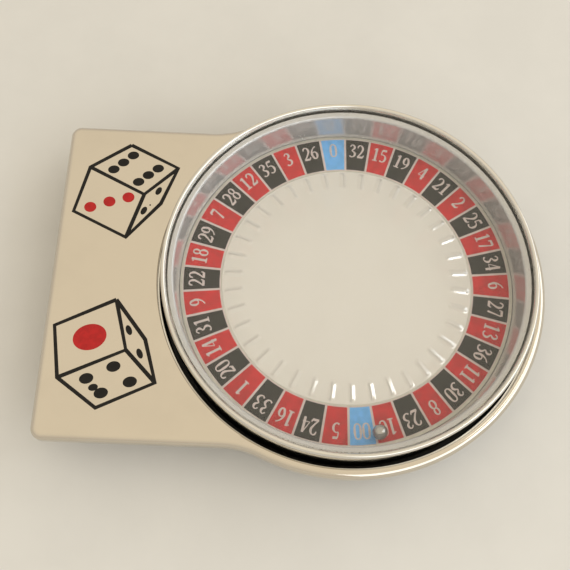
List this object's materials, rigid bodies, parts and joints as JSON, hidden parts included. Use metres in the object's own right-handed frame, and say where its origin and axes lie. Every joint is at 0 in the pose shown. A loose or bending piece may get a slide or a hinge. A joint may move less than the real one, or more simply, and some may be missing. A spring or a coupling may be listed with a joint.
{
  "type": "roulette belt buckle",
  "caption": "Plated belt buckle whose round end carries a working roulette wheel: a numbered drum under a clear cover that turns by hand, with a captive steel ball.",
  "frame": {"origin": "under the middle of the outline, on the surface that the stud's head and the belt loop's bar rest on", "axes": "+X along the plate towards its round end, +Y up the plate, +Z out of its front, along the wheel's axis"},
  "size_m": [0.0802, 0.0646, 0.015],
  "materials": {
    "plated_front": "polished plate with two printed dice",
    "plated_cup": "plated, lightly brushed",
    "turned_pivot": "turned",
    "plated_washer": "plated",
    "nylon": "natural nylon",
    "spring_steel": "blackened",
    "plated_stud": "plated",
    "stud_washer": "plated",
    "lug_steel": "plated, soldered on",
    "spun_bowl": "spun",
    "brass_bush": "turned",
    "polished_disc": "polished, with pressed frets",
    "printed_ring": "printed red, black and light blue with white numbers",
    "polished_wall": "mirror polish",
    "clear_plastic": "clear acrylic",
    "plated_bezel": "polished",
    "ball_steel": "polished ball",
    "plated_wire": "plated wire"
  },
  "bodies": {
    "case": {"front_plate": "plated_front", "rear_cup": "plated_cup", "pivot_post": "turned_pivot", "pivot_washer": "plated_washer", "thrust_washer": "nylon", "retaining_clip": "spring_steel", "belt_stud": "plated_stud", "stud_washer": "stud_washer", "loop_lug_upper": "lug_steel", "loop_lug_lower": "lug_steel"},
    "drum": {"drum_bowl": "spun_bowl", "drum_bush": "brass_bush", "fret_disc": "polished_disc", "number_ring": "printed_ring", "wall_ring": "polished_wall", "clear_cover": "clear_plastic", "bezel_ring": "plated_bezel"},
    "ball": {"steel_ball": "ball_steel"},
    "loop": {"belt_loop": "plated_wire"}
  },
  "joints": [
    {"name": "wheel_spin", "type": "hinge", "parent": "case", "child": "drum", "pos_m": [0.0078, 0, 0.0078], "axis": [0, 0, 1], "continuous": true},
    {"name": "ball_orbit", "type": "hinge", "parent": "drum", "child": "ball", "pos_m": [0.0078, 0, 0.0078], "axis": [0, 0, 1], "continuous": true},
    {"name": "loop_swing", "type": "hinge", "parent": "case", "child": "loop", "pos_m": [-0.027, -0.0012, 0.0063], "axis": [0, 1, 0], "range_deg": [-130, 30]}
  ]
}
